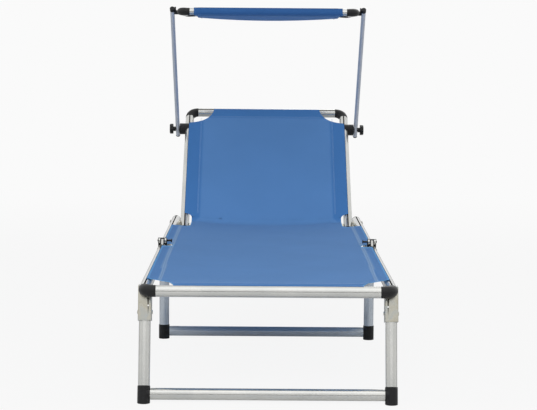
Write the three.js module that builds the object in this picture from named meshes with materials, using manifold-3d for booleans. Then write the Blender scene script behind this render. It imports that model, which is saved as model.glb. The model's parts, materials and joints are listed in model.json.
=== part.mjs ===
// Folding sun lounger with a tilting canopy, in millimetres.
// X runs across the bed, Y from the foot end to the head end, Z up from the floor.
// The bed tubes carry a groove along their face, and a bead in the edge of the cloth lies in it.

import * as THREE from 'three';
import { mergeVertices, toCreasedNormals } from 'three/addons/utils/BufferGeometryUtils.js';
import Module from 'manifold-3d';

const wasm = await Module();
wasm.setup();

// Bed lengths, along the bed from the centre of the foot bar
const footLength = 755;
const seatLength = 625;
const railPastPivot = 150;
const railSpacing = 525;
const railHeight = 239;

// Bed tube and its cloth groove
const tubeDiameter = 25;
const tubeWall = 1.3;
const slotWidth = 3;
const pocketRadius = 3.2;
const pocketDepth = 4.5;
const bendRadius = 25;
const cornerProud = 0.2;
const spigotLength = 30;
const spigotRoot = 5;

// Gaps and working values
const fit = 0.3;
const clothLift = 0.4;
const overrun = 60;
const farOverrun = 400;
const weldDistance = 0.0001;
const creaseAngle = THREE.MathUtils.degToRad(32);
const tubeSides = 20;
const middleSides = 16;
const smallSides = 10;
const beadSides = 8;
const nutSides = 6;
const copeSteps = 12;
const bendSteps = 4;

// Middle fold
const foldPinRise = 24;
const foldPinRadius = 2.5;
const foldPinInside = 24;
const foldPinOutside = 12.5;
const foldPinHeadRadius = 4.5;
const foldPinHeadLength = 2.5;
const collarLength = 22;
const collarWall = 1.2;
const knuckleWidth = 8;
const knuckleRadius = 7.2;
const forkWidth = 6.7;
const foldWebShare = 0.92;
const foldShoulderShare = 0.7;

// Legs
const frontLegInset = 41;
const midLegPastFold = 95;
const rearLegPastPivot = 122;
const legPivotDrop = 51;
const frontLegLean = THREE.MathUtils.degToRad(13);
const rearLegLean = THREE.MathUtils.degToRad(40);
const crossbarHeight = 19;
const legCapRadius = 13.6;
const legCapRise = 17;
const legSpigotLength = 16;
const boltRadius = 3;

// Leg brackets: a channel of pressed steel with a split in its web
const bracketWall = 1.6;
const bracketPlay = 0.4;
const bracketBend = 1;
const bracketTail = 18.5;
const bracketCheek = 11;
const bracketRise = 6;
const bracketBridgeGap = 1.2;
const bracketSplitWidth = 5.6;
const bracketSplitInset = 7.5;
const bracketSplitHeight = 44;
const bracketSplitFromPivot = 6;
const boltHeadRadius = 5.5;
const boltHeadHeight = 2;
const rivetHeadRadius = 3.5;
const rivetHeadHeight = 1.2;
const domeRimShare = 0.2;
const domeFlatShare = 0.6;

// Backrest
const backTilt = THREE.MathUtils.degToRad(38.5);
const backLength = 488;
const backTail = 13;
const backSideGap = 5.6;
const reclinePlateLength = 60;
const reclinePlateBelow = 13;
const reclinePlateAbove = 12.5;
const reclinePlateWall = 2;
const reclinePlateChamfer = 6;
const reclineDiscRadius = 12.5;
const reclineDiscWall = 2.6;
const reclineToothDepth = 1.6;
const reclineTeeth = 18;
const reclineNutRadius = 7;
const reclineNutLength = 5;

// Canopy arms, their clamps and knobs
const clampFromTop = 75;
const clampRadius = 16.5;
const clampReach = 28.5;
const clampHoleDepth = 12;
const armDiameter = 12;
const armWall = 1.2;
const armTail = 27;
const armReach = 502.8;
const armAngle = THREE.MathUtils.degToRad(98.4);
const armPastPivot = 6;
const headRadius = 6.75;
const headLength = 10;
const headSpigotLength = 12;
const headTongue = 4;
const neckRadius = 6;
const tongueShare = 0.9;
const neckBoltRadius = 2.8;
const neckNutRadius = 5;
const neckNutLength = 3;
const knobScrewRadius = 3.5;
const knobHubRadius = 7;
const knobHubLength = 7;
const knobRadius = 15;
const knobLength = 10.5;
const knobLobeDepth = 1.6;
const knobLobes = 8;
const knobEdge = 1.5;

// Canopy frame and cover
const canopyLength = 410;
const canopyWidth = 472;
const canopyTubeDiameter = 19;
const canopyTubeWall = 1.1;
const canopyBendRadius = 25;
const canopySpigotLength = 22;
const coverWidth = 398;
const coverSag = 31;
const coverSteps = 16;

// Bed cloth
const clothThickness = 1.2;
const beadRadius = 2;
const footSag = 8;
const creaseSag = 13;
const sagRunIn = 160;
const creaseRunIn = 420;
const clothColumns = 12;
const clothRows = 10;
const foldNotchRadius = 28;
const footCornerAlong = 103;
const footCornerElbowIn = 49;
const footCornerElbowAlong = 52;
const footCornerAcross = 61.5;
const seatSideEnd = 134;
const innerClothInset = 47.5;
const rearCornerShares = [[0, 0], [0.72, 0.01], [0.94, 0.2], [1, 0.6]];
const backCornerShare = 0.2;
const seatClothShort = 12;
const backClothStart = 6;
const backSideStart = 41;
const backCutRadius = 75;
const backCutDepth = 64;
const backCutInset = 2;

// Worked out from the sizes above
const tubeRadius = tubeDiameter / 2;
const boreRadius = tubeRadius - tubeWall;
const pocketCentre = tubeRadius - pocketDepth;
const pocketFloor = pocketCentre - pocketRadius - tubeWall;
const spigotRadius = (boreRadius + pocketFloor) / 2 - fit;
const spigotDrop = (boreRadius - pocketFloor) / 2;
const railX = railSpacing / 2;
const foldY = footLength;
const pivotY = footLength + seatLength;
const seatRailEnd = pivotY + railPastPivot;
const legPivotHeight = railHeight - legPivotDrop;
const collarBore = tubeRadius + fit;
const backX = railX - tubeDiameter - backSideGap;
const armRadius = armDiameter / 2;
const armX = backX + clampReach + fit + armRadius;
const clampAt = backLength - clampFromTop;
const canopyTubeRadius = canopyTubeDiameter / 2;
const canopyX = canopyWidth / 2;
const canopyBar = canopyLength / 2;
const holeRadius = boltRadius + fit;

const across = new THREE.Vector3(1, 0, 0);
const along = new THREE.Vector3(0, 1, 0);
const up = new THREE.Vector3(0, 0, 1);

// Materials
const paintedTube = () => new THREE.MeshStandardMaterial({ color: '#d6d7d4', roughness: 0.34, metalness: 0.35 });
const plainSteel = () => new THREE.MeshStandardMaterial({ color: '#b9b8a4', roughness: 0.3, metalness: 0.85 });
const blackPlastic = () => new THREE.MeshStandardMaterial({ color: '#1f2123', roughness: 0.45, metalness: 0 });
const bedCloth = () => new THREE.MeshStandardMaterial({ color: '#5079af', roughness: 0.85, metalness: 0 });
const coverCloth = () => new THREE.MeshStandardMaterial({ color: '#315b94', roughness: 0.85, metalness: 0 });

// Joining and cutting of closed geometries
function solidOf(geometry) {
  const bare = geometry.clone();
  for (const name of Object.keys(bare.attributes)) if (name !== 'position') bare.deleteAttribute(name);
  const merged = mergeVertices(bare, weldDistance);
  return new wasm.Manifold(new wasm.Mesh({
    numProp: 3,
    vertProperties: Float32Array.from(merged.attributes.position.array),
    triVerts: Uint32Array.from(merged.index.array),
  }));
}

function geometryOf(solid) {
  const { vertProperties, triVerts } = solid.getMesh();
  const geometry = new THREE.BufferGeometry();
  geometry.setAttribute('position', new THREE.BufferAttribute(vertProperties, 3));
  geometry.setIndex(new THREE.BufferAttribute(triVerts, 1));
  return geometry;
}

const join = (first, ...others) =>
  geometryOf(others.reduce((whole, other) => whole.add(solidOf(other)), solidOf(first)));
const cut = (first, ...tools) =>
  geometryOf(tools.reduce((whole, tool) => whole.subtract(solidOf(tool)), solidOf(first)));
const common = (first, second) => geometryOf(solidOf(first).intersect(solidOf(second)));

// Outlines
function arc(x, y, radius, from, to, steps) {
  return Array.from({ length: steps + 1 }, (_, i) => {
    const angle = from + ((to - from) * i) / steps;
    return new THREE.Vector2(x + radius * Math.cos(angle), y + radius * Math.sin(angle));
  });
}

const disc = (radius, sides = tubeSides) =>
  new THREE.Shape(arc(0, 0, radius, 0, 2 * Math.PI, sides).slice(0, sides));

function ring(radius, bore, sides = tubeSides) {
  const shape = disc(radius, sides);
  shape.holes.push(disc(bore, sides));
  return shape;
}

const polygon = (points) => new THREE.Shape(points.map(([x, y]) => new THREE.Vector2(x, y)));

// A bed tube's section: a ring with a round pocket under its face, open through a narrow slot
function groovedSection() {
  const slotHalf = slotWidth / 2;
  const face = Math.acos(slotHalf / tubeRadius);
  const mouth = Math.acos(slotHalf / pocketRadius);
  const shape = new THREE.Shape([
    ...arc(0, 0, tubeRadius, -Math.PI - face, face, tubeSides),
    ...arc(0, pocketCentre, pocketRadius, 2 * Math.PI + mouth, Math.PI - mouth, smallSides),
  ]);
  const wallRadius = pocketRadius + tubeWall;
  const meetY = (boreRadius ** 2 - wallRadius ** 2 + pocketCentre ** 2) / (2 * pocketCentre);
  const onBore = Math.asin(meetY / boreRadius);
  const onWall = Math.asin((meetY - pocketCentre) / wallRadius);
  const inside = arc(0, 0, boreRadius, onBore, -Math.PI - onBore, tubeSides);
  const wall = arc(0, pocketCentre, wallRadius, Math.PI - onWall, 2 * Math.PI + onWall, smallSides);
  shape.holes.push(new THREE.Path([...inside, ...wall.slice(1, -1)]));
  return shape;
}

// A section carried straight along one axis. Along x its outline lies in y and z, along y in x and z
function straight(outline, axis, from, to) {
  const geometry = new THREE.ExtrudeGeometry(outline, { depth: to - from, bevelEnabled: false });
  const turn = new THREE.Matrix4();
  if (axis === 'x') turn.makeBasis(along, up, across).setPosition(from, 0, 0);
  else if (axis === 'y') turn.makeBasis(across, up, along.clone().negate()).setPosition(0, to, 0);
  else turn.setPosition(0, 0, from);
  return geometry.applyMatrix4(turn);
}

const rod = (radius, axis, from, to, sides = smallSides) => straight(disc(radius, sides), axis, from, to);

function block(x0, x1, y0, y1, z0, z1) {
  return new THREE.BoxGeometry(x1 - x0, y1 - y0, z1 - z0)
    .translate((x0 + x1) / 2, (y0 + y1) / 2, (z0 + z1) / 2);
}

// A low domed head that stands out along x, from its seat at x = 0, with a root behind the seat
function domeHead(radius, height, root, side) {
  const profile = [
    [0, -root], [radius, -root], [radius, height * domeRimShare], [radius * domeFlatShare, height], [0, height],
  ].map(([r, h]) => new THREE.Vector2(r, h));
  return new THREE.LatheGeometry(profile, smallSides).rotateZ((-side * Math.PI) / 2);
}

// A round quarter bend in the x-y plane about a centre, from one angle to another
class LevelArc extends THREE.Curve {
  constructor(centre, radius, from, to) {
    super();
    Object.assign(this, { centre, radius, from, to });
  }

  getPoint(t, target = new THREE.Vector3()) {
    const angle = this.from + (this.to - this.from) * t;
    const { x, y } = this.centre;
    return target.set(x + this.radius * Math.cos(angle), y + this.radius * Math.sin(angle), 0);
  }
}

// A moulded corner: the bend, and a tongue into the end of each tube that it joins.
// It lies at the +x end, toward -y when side is -1 and toward +y when side is 1
function cornerPiece(x, y, side, radius, thick, tongueRadius, tongueDrop, tongueLength, sides) {
  const centre = new THREE.Vector2(x - radius, y - side * radius);
  const path = new LevelArc(centre, radius, side > 0 ? 0 : -Math.PI / 2, side > 0 ? Math.PI / 2 : 0);
  const bend = new THREE.ExtrudeGeometry(disc(thick, sides), {
    steps: bendSteps, bevelEnabled: false, extrudePath: path,
  });
  const toBar = rod(tongueRadius, 'x', centre.x - tongueLength, centre.x + spigotRoot)
    .translate(0, y, -tongueDrop);
  const rootY = centre.y + side * spigotRoot;
  const tipY = centre.y - side * tongueLength;
  const toRail = rod(tongueRadius, 'y', Math.min(rootY, tipY), Math.max(rootY, tipY))
    .translate(x, 0, -tongueDrop);
  return join(bend, toBar, toRail);
}

const bedCorner = (x, y, side) => cornerPiece(
  x, y, side, bendRadius, tubeRadius + cornerProud, spigotRadius, spigotDrop, spigotLength, tubeSides,
);

// The mirror image on the other side of the bed
function mirrored(geometry) {
  const other = geometry.clone().applyMatrix4(new THREE.Matrix4().makeScale(-1, 1, 1));
  const index = other.index.array;
  for (let i = 0; i < index.length; i += 3) [index[i], index[i + 1]] = [index[i + 1], index[i]];
  return other;
}

function addPiece(group, name, geometry, material) {
  const mesh = new THREE.Mesh(toCreasedNormals(geometry, creaseAngle), material);
  mesh.name = name;
  group.add(mesh);
  return mesh;
}

// A piece modelled for the +x side, and its mirror image
function addPair(group, name, geometry, material) {
  const single = geometry.index ? geometry : geometryOf(solidOf(geometry));
  addPiece(group, `${name}_right`, single, material());
  addPiece(group, `${name}_left`, mirrored(single), material());
}

// Cloth: a thin panel over the tube faces that sags between them
function panel(halfWidth, from, to, faceHeight, sagAt) {
  const geometry = new THREE.BoxGeometry(
    2 * halfWidth + clothThickness, to - from, clothThickness, clothColumns, clothRows, 1,
  ).translate(0, (from + to) / 2, faceHeight + clothLift + clothThickness / 2);
  const place = geometry.attributes.position;
  for (let i = 0; i < place.count; i += 1) {
    const share = Math.min(1, Math.abs(place.getX(i)) / halfWidth);
    place.setZ(i, place.getZ(i) - sagAt(place.getY(i)) * (1 - share * share));
  }
  return geometry;
}

// The edge of the cloth that goes down through a slot, with the bead that holds it in the pocket
function sideEdge(x, from, to, centreHeight) {
  const height = centreHeight + pocketCentre;
  const top = centreHeight + tubeRadius + clothLift + clothThickness / 2;
  const tab = block(x - clothThickness / 2, x + clothThickness / 2, from, to, height, top);
  return join(tab, rod(beadRadius, 'y', from, to, beadSides).translate(x, 0, height));
}

function barEdge(halfLength, y, centreHeight) {
  const height = centreHeight + pocketCentre;
  const top = centreHeight + tubeRadius + clothLift + clothThickness / 2;
  const tab = block(
    -halfLength, halfLength, y - clothThickness / 2, y + clothThickness / 2, height, top,
  );
  return join(tab, rod(beadRadius, 'x', -halfLength, halfLength, beadSides).translate(0, y, height));
}

// A cut straight down through a panel on both sides of the bed
function throughBoth(outline, height) {
  const tool = geometryOf(solidOf(straight(outline, 'z', height - overrun, height + overrun)));
  return [tool, mirrored(tool)];
}

const easeIn = (value, start, length) => THREE.MathUtils.smoothstep(value, start, start + length);
const bedSag = (y) => footSag * easeIn(y, 0, sagRunIn)
  + (creaseSag - footSag) * easeIn(y, pivotY - creaseRunIn, creaseRunIn);
const backSag = (s) => creaseSag * (1 - easeIn(s, 0, backLength));

// The two halves of a fold hinge: a collar round each rail end, one knuckle against a fork with its pin
function foldHalf(side) {
  const toFold = side * fit;
  const far = side * collarLength;
  const low = Math.min(toFold, far);
  const high = Math.max(toFold, far);
  const inKnuckle = [-knuckleWidth / 2, knuckleWidth / 2];
  const forks = [
    [knuckleWidth / 2 + fit, knuckleWidth / 2 + fit + forkWidth],
    [-knuckleWidth / 2 - fit - forkWidth, -knuckleWidth / 2 - fit],
  ];
  const own = side < 0 ? [inKnuckle] : forks;
  const others = side < 0 ? forks : [inKnuckle];
  const collar = rod(collarBore + collarWall, 'y', low, high, tubeSides).translate(0, 0, -foldPinRise);
  const clearances = others.map(([x0, x1]) => rod(knuckleRadius + fit, 'x', x0 - fit, x1 + fit, tubeSides));
  const webEnd = side * collarLength * foldWebShare;
  const shoulder = knuckleRadius * foldShoulderShare;
  const web = polygon([
    [webEnd, -foldPinRise], [webEnd, -knuckleRadius],
    [side * shoulder, shoulder], [toFold, 0], [toFold, -foldPinRise],
  ]);
  const knuckles = own.flatMap(([x0, x1]) => [
    straight(web, 'x', x0, x1), rod(knuckleRadius, 'x', x0, x1, tubeSides),
  ]);
  const bore = rod(collarBore, 'y', -overrun, overrun, tubeSides).translate(0, 0, -foldPinRise);
  const body = cut(join(cut(collar, ...clearances), ...knuckles), bore);
  if (side < 0) return cut(body, rod(foldPinRadius + fit, 'x', -overrun, overrun));
  return join(
    body,
    rod(foldPinRadius, 'x', -foldPinInside, foldPinOutside),
    rod(foldPinHeadRadius, 'x', -foldPinInside, foldPinHeadLength - foldPinInside),
  );
}

// Leg bracket, seen along the leg: a channel with its web on the side that the leg doesn't fold to,
// and a bridge across the other side above the folded leg. It is coped to the rail that passes over it
function legBracket(lean, foldSide) {
  const inner = tubeRadius + bracketPlay;
  const outer = inner + bracketWall;
  const turn = inner - bracketBend;
  const corners = (radius, steps) => [
    ...arc(-turn, -turn, radius, -Math.PI, -Math.PI / 2, steps),
    ...arc(turn, -turn, radius, -Math.PI / 2, 0, steps),
  ];
  const section = [
    new THREE.Vector2(-outer, bracketCheek), ...corners(bracketBend + bracketWall, bendSteps),
    new THREE.Vector2(outer, bracketCheek), new THREE.Vector2(inner, bracketCheek),
    ...corners(bracketBend, bendSteps - 1).reverse(), new THREE.Vector2(-inner, bracketCheek),
  ];
  const channel = new THREE.Shape(section.map(({ x, y }) => new THREE.Vector2(x, foldSide * y)));
  const tilt = Math.abs(lean);
  const bridgeLow = tubeRadius / Math.cos(tilt) + bracketCheek * Math.tan(tilt) + bracketBridgeGap;
  const bridgeY = [foldSide * bracketCheek, foldSide * (bracketCheek - bracketWall)];
  const body = join(
    straight(channel, 'z', -bracketTail, legPivotDrop + overrun),
    block(-outer, outer, Math.min(...bridgeY), Math.max(...bridgeY), bridgeLow, legPivotDrop + overrun),
  );
  const levelled = new THREE.Matrix4().makeRotationX(-lean);
  const clear = tubeRadius + fit;
  const railPath = new THREE.Shape([
    ...arc(0, legPivotDrop, clear, Math.PI, 2 * Math.PI, copeSteps),
    new THREE.Vector2(clear, legPivotDrop + farOverrun),
    new THREE.Vector2(-clear, legPivotDrop + farOverrun),
  ]);
  const rail = straight(railPath, 'y', -farOverrun, farOverrun).applyMatrix4(levelled);
  const above = block(
    -overrun, overrun, -farOverrun, farOverrun, legPivotDrop + bracketRise, legPivotDrop + farOverrun,
  ).applyMatrix4(levelled);
  const splitFrom = -foldSide * outer;
  const split = straight(polygon([
    [-bracketSplitInset, -bracketSplitFromPivot],
    [bracketSplitWidth / 2 - bracketSplitInset, bracketSplitHeight - bracketSplitFromPivot],
    [bracketSplitWidth / 2 - bracketSplitInset, legPivotDrop],
    [-bracketSplitWidth / 2 - bracketSplitInset, legPivotDrop],
    [-bracketSplitWidth / 2 - bracketSplitInset, bracketSplitHeight - bracketSplitFromPivot],
  ]), 'y', Math.min(splitFrom, 0) - fit, Math.max(splitFrom, 0) + fit);
  const rivetY = (foldSide * bracketCheek) / 2;
  const rivetZ = (legPivotDrop - rivetY * Math.sin(lean)) / Math.cos(lean);
  const root = bracketWall / 2;
  const heads = [-1, 1].flatMap((side) => [
    domeHead(boltHeadRadius, boltHeadHeight, root, side).translate(side * outer, 0, 0),
    domeHead(rivetHeadRadius, rivetHeadHeight, root, side).translate(side * outer, rivetY, rivetZ),
  ]);
  return join(cut(body, rail, above, split), rod(boltRadius, 'x', -outer, outer), ...heads);
}

// One folding U leg with its two brackets, turned about its pivots by its lean
function addLeg(group, name, y, lean, foldSide) {
  const stand = new THREE.Group();
  stand.position.set(0, y, legPivotHeight);
  stand.rotation.x = lean;
  group.add(stand);

  const barDrop = (legPivotHeight - crossbarHeight) / Math.cos(lean);
  const postLow = legCapRise + fit - barDrop;
  const rounded = new THREE.Shape([
    ...arc(0, 0, tubeRadius, 0, Math.PI, smallSides),
    new THREE.Vector2(-tubeDiameter, 0), new THREE.Vector2(-tubeDiameter, postLow - overrun),
    new THREE.Vector2(tubeDiameter, postLow - overrun), new THREE.Vector2(tubeDiameter, 0),
  ]);
  const tube = straight(ring(tubeRadius, boreRadius), 'z', postLow, tubeRadius + fit);
  const post = cut(
    common(tube, straight(rounded, 'x', -tubeDiameter, tubeDiameter)),
    rod(holeRadius, 'x', -tubeDiameter, tubeDiameter),
  );

  const floor = block(
    -overrun, overrun, -farOverrun, farOverrun, -farOverrun - legPivotHeight, -legPivotHeight,
  ).applyMatrix4(new THREE.Matrix4().makeRotationX(-lean));
  const plug = boreRadius - fit;
  const foot = cut(
    join(
      rod(legCapRadius, 'z', -barDrop - overrun, legCapRise - barDrop, tubeSides),
      rod(plug, 'z', -barDrop, legCapRise + legSpigotLength - barDrop, tubeSides),
      rod(tubeRadius + cornerProud, 'x', -legCapRadius, 0, tubeSides).translate(0, 0, -barDrop),
      rod(plug, 'x', -legCapRadius - legSpigotLength, 0, tubeSides).translate(0, 0, -barDrop),
    ),
    floor,
  );

  const barEnd = railX - legCapRadius - fit;
  const bar = straight(ring(tubeRadius, boreRadius), 'x', -barEnd, barEnd).translate(0, 0, -barDrop);
  addPair(stand, `${name}_bracket`, legBracket(lean, foldSide).translate(railX, 0, 0), plainSteel);
  addPair(stand, `${name}_post`, post.translate(railX, 0, 0), paintedTube);
  addPair(stand, `${name}_foot`, foot.translate(railX, 0, 0), blackPlastic);
  addPiece(stand, `${name}_crossbar`, bar, paintedTube());
}

// Foot section: bar, rails, corners and the cloth up to the fold
function addFootSection(group) {
  const section = new THREE.Group();
  section.position.z = railHeight;
  group.add(section);
  const barEnd = railX - bendRadius - fit;
  addPiece(section, 'foot_bar', straight(groovedSection(), 'x', -barEnd, barEnd), paintedTube());
  const rail = straight(groovedSection(), 'y', bendRadius + fit, foldY - fit).translate(railX, 0, 0);
  addPair(section, 'foot_rail', rail, paintedTube);
  addPair(section, 'foot_corner', bedCorner(railX, 0, -1), blackPlastic);
  addPair(section, 'fold_knuckle', foldHalf(-1).translate(railX, foldY, foldPinRise), blackPlastic);

  const corner = polygon([
    [railX - footCornerAcross, -overrun], [railX - footCornerAcross, 0],
    [railX - footCornerElbowIn, footCornerElbowAlong], [railX, footCornerAlong],
    [railX + overrun, footCornerAlong], [railX + overrun, -overrun],
  ]);
  const notch = new THREE.Shape(arc(railX, foldY, foldNotchRadius, 0, 2 * Math.PI, tubeSides).slice(1));
  const cloth = cut(
    panel(railX, -clothThickness / 2, foldY - clothLift, tubeRadius, bedSag),
    ...throughBoth(corner, tubeRadius), ...throughBoth(notch, tubeRadius),
  );
  const side = sideEdge(railX, footCornerAlong, foldY - foldNotchRadius, 0);
  const front = barEdge(railX - footCornerAcross, 0, 0);
  addPiece(section, 'foot_cloth', join(cloth, side, mirrored(side), front), bedCloth());
}

// Seat section: rails, cloth, and the toothed brackets that the backrest turns on
function addSeatSection(group) {
  const section = new THREE.Group();
  section.position.z = railHeight;
  group.add(section);
  const rail = straight(groovedSection(), 'y', foldY + fit, seatRailEnd).translate(railX, 0, 0);
  addPair(section, 'seat_rail', rail, paintedTube);
  addPair(section, 'fold_fork', foldHalf(1).translate(railX, foldY, foldPinRise), blackPlastic);

  const notch = new THREE.Shape(arc(railX, foldY, foldNotchRadius, 0, 2 * Math.PI, tubeSides).slice(1));
  const sideEnd = pivotY - seatSideEnd;
  const rear = polygon([
    [railX + overrun, sideEnd],
    ...rearCornerShares.map(([inward, back]) => [
      railX - innerClothInset * inward, sideEnd + innerClothInset * back,
    ]),
    [railX - innerClothInset, pivotY + overrun], [railX + overrun, pivotY + overrun],
  ]);
  const cloth = cut(
    panel(railX, foldY + clothLift, pivotY - seatClothShort, tubeRadius, bedSag),
    ...throughBoth(notch, tubeRadius), ...throughBoth(rear, tubeRadius),
  );
  const side = sideEdge(railX, foldY + foldNotchRadius, sideEnd, 0);
  addPiece(section, 'seat_cloth', join(cloth, side, mirrored(side)), bedCloth());

  const plateFace = railX - tubeRadius - fit;
  const discFace = plateFace - reclinePlateWall;
  const halfPlate = reclinePlateLength / 2;
  const plate = straight(polygon([
    [-halfPlate, -reclinePlateBelow], [halfPlate, -reclinePlateBelow],
    [halfPlate, reclinePlateAbove - reclinePlateChamfer],
    [halfPlate - reclinePlateChamfer, reclinePlateAbove],
    [reclinePlateChamfer - halfPlate, reclinePlateAbove],
    [-halfPlate, reclinePlateAbove - reclinePlateChamfer],
  ]), 'x', discFace, plateFace);
  const teeth = Array.from({ length: 2 * reclineTeeth }, (_, i) => {
    const angle = (Math.PI * i) / reclineTeeth;
    const radius = reclineDiscRadius - (i % 2) * reclineToothDepth;
    return new THREE.Vector2(radius * Math.cos(angle), radius * Math.sin(angle));
  });
  const nutFace = backX - tubeRadius - fit;
  const bracket = join(
    plate,
    straight(new THREE.Shape(teeth), 'x', discFace - reclineDiscWall, discFace + fit),
    rod(boltRadius, 'x', nutFace - reclineNutLength, plateFace - fit),
    rod(reclineNutRadius, 'x', nutFace - reclineNutLength, nutFace, nutSides),
  );
  addPair(section, 'recline_bracket', bracket.translate(0, pivotY, 0), plainSteel);
}

// Backrest, in its own frame: y runs up it from the pivots, z is the side that is leant on
function addBackrest(group) {
  const back = new THREE.Group();
  back.position.set(0, pivotY, railHeight);
  back.rotation.x = backTilt;
  group.add(back);

  const rail = cut(
    straight(groovedSection(), 'y', -backTail, backLength - bendRadius - fit),
    rod(holeRadius, 'x', -tubeDiameter, tubeDiameter),
  );
  addPair(back, 'back_rail', rail.translate(backX, 0, 0), paintedTube);
  const barEnd = backX - bendRadius - fit;
  const bar = straight(groovedSection(), 'x', -barEnd, barEnd).translate(0, backLength, 0);
  addPiece(back, 'back_bar', bar, paintedTube());
  addPair(back, 'back_corner', bedCorner(backX, backLength, 1), blackPlastic);

  const inner = railX - innerClothInset;
  const lower = polygon([
    [inner, -overrun], [inner, backSideStart - innerClothInset * backCornerShare],
    [inner + clothLift, backSideStart], [backX + overrun, backSideStart], [backX + overrun, -overrun],
  ]);
  const cutX = backX + backCutInset;
  const cutY = backLength + backCutInset;
  const upper = new THREE.Shape([
    ...arc(0, 0, backCutRadius, Math.PI, 1.5 * Math.PI, smallSides)
      .map(({ x, y }) => new THREE.Vector2(cutX + x, cutY + (y * backCutDepth) / backCutRadius)),
    new THREE.Vector2(cutX + overrun, cutY - backCutDepth),
    new THREE.Vector2(cutX + overrun, cutY + overrun),
    new THREE.Vector2(cutX - backCutRadius, cutY + overrun),
  ]);
  const cloth = cut(
    panel(backX, backClothStart, backLength + clothThickness / 2, tubeRadius, backSag),
    ...throughBoth(lower, tubeRadius), ...throughBoth(upper, tubeRadius),
  );
  const side = sideEdge(backX, backSideStart, cutY - backCutDepth, 0);
  const top = barEdge(cutX - backCutRadius, backLength, 0);
  addPiece(back, 'back_cloth', join(cloth, side, mirrored(side), top), bedCloth());

  const clampInner = backX + clothThickness / 2 + fit;
  const clampFace = backX + clampReach;
  const clamp = cut(
    rod(clampRadius, 'x', clampInner, clampFace, tubeSides),
    straight(disc(tubeRadius + fit), 'y', -overrun, overrun).translate(backX, 0, 0),
    rod(knobScrewRadius + fit, 'x', clampFace - clampHoleDepth, clampFace + fit),
  );
  addPair(back, 'arm_clamp', clamp.translate(0, clampAt, 0), blackPlastic);
  return back;
}

// Canopy arms, in a frame with y along them from the clamps
function addArms(back) {
  const arms = new THREE.Group();
  arms.position.set(0, clampAt, 0);
  arms.rotation.x = armAngle;
  back.add(arms);

  const armEnd = armReach + armPastPivot;
  const screwHole = rod(knobScrewRadius + fit, 'x', -armDiameter, armDiameter);
  const tube = straight(ring(armRadius, armRadius - armWall, middleSides), 'y', -armTail, armEnd);
  const arm = cut(tube, screwHole);
  addPair(arms, 'canopy_arm', arm.translate(armX, 0, 0), paintedTube);

  const innerFace = armX - armRadius - fit;
  const neckEnd = canopyX + canopyTubeRadius + fit;
  const nutFace = canopyX - canopyTubeRadius - fit;
  const headEnd = armEnd + fit + headLength;
  const tongue = block(
    innerFace - headTongue, innerFace, armReach, headEnd, -neckRadius * tongueShare, neckRadius * tongueShare,
  );
  const head = join(
    rod(headRadius, 'y', armEnd + fit, headEnd, middleSides).translate(armX, 0, 0),
    rod(armRadius - armWall - fit, 'y', armEnd - headSpigotLength, armEnd + 2 * fit).translate(armX, 0, 0),
    tongue,
    rod(neckRadius, 'x', neckEnd, innerFace, middleSides).translate(0, armReach, 0),
    rod(neckBoltRadius, 'x', nutFace - neckNutLength, neckEnd + fit).translate(0, armReach, 0),
    rod(neckNutRadius, 'x', nutFace - neckNutLength, nutFace, nutSides).translate(0, armReach, 0),
  );
  addPair(arms, 'arm_head', head, blackPlastic);

  const hubFace = armX + armRadius + fit;
  const knobFace = hubFace + knobHubLength;
  const lobes = (depth) => new THREE.Shape(Array.from({ length: 4 * knobLobes }, (_, i) => {
    const angle = (2 * Math.PI * i) / (4 * knobLobes);
    const radius = knobRadius - depth - (knobLobeDepth * (1 - Math.cos(knobLobes * angle))) / 2;
    return new THREE.Vector2(radius * Math.cos(angle), radius * Math.sin(angle));
  }));
  const knob = join(
    rod(knobScrewRadius, 'x', armX - armRadius - clampHoleDepth / 2, hubFace + fit),
    rod(knobHubRadius, 'x', hubFace, knobFace + fit, middleSides),
    straight(lobes(0), 'x', knobFace, knobFace + knobLength - knobEdge),
    straight(lobes(knobEdge), 'x', knobFace + knobEdge, knobFace + knobLength),
  );
  addPair(arms, 'clamp_knob', knob, blackPlastic);
  return arms;
}

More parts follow.
